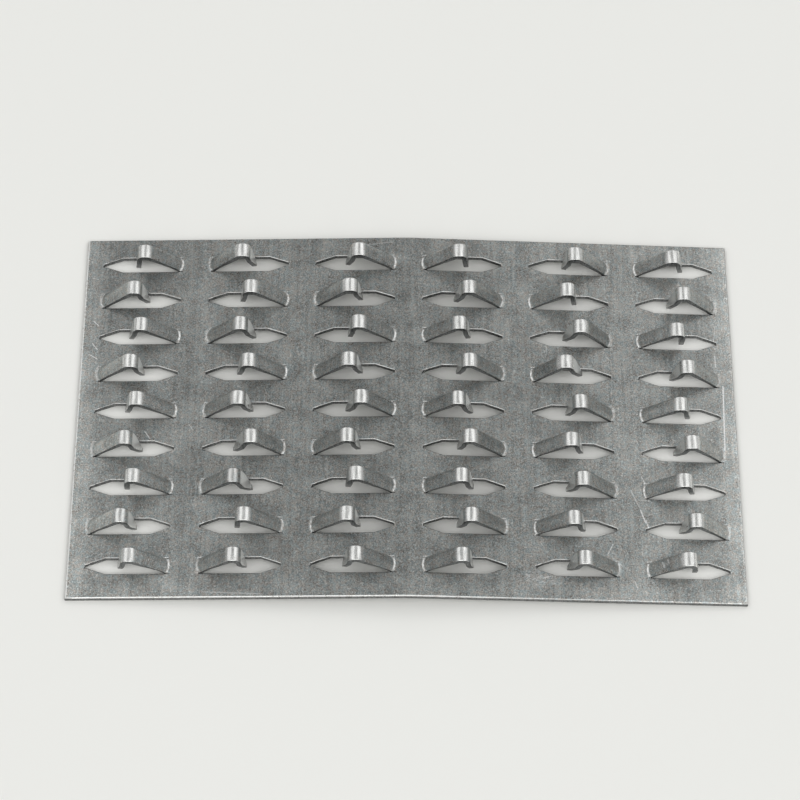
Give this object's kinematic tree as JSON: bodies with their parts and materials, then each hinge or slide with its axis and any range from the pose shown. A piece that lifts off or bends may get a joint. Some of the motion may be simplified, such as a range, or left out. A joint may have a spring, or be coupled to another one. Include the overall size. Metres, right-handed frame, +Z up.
{
  "type": "truss nail plate",
  "caption": "Toothed truss connector plate of galvanised sheet steel, slightly bowed, with rows of lanced and folded teeth standing on one face.",
  "frame": {"origin": "centre of the plate's footprint, on the surface it lies on", "axes": "+X along the plate's longer side, +Y across it, +Z up, the way the teeth point"},
  "size_m": [0.127, 0.0762, 0.0093],
  "materials": {
    "galvanised_steel": "hot-dip galvanised, dull with bright folds and sheared edges"
  },
  "bodies": {
    "root": {"nail_plate": "galvanised_steel"}
  },
  "joints": []
}
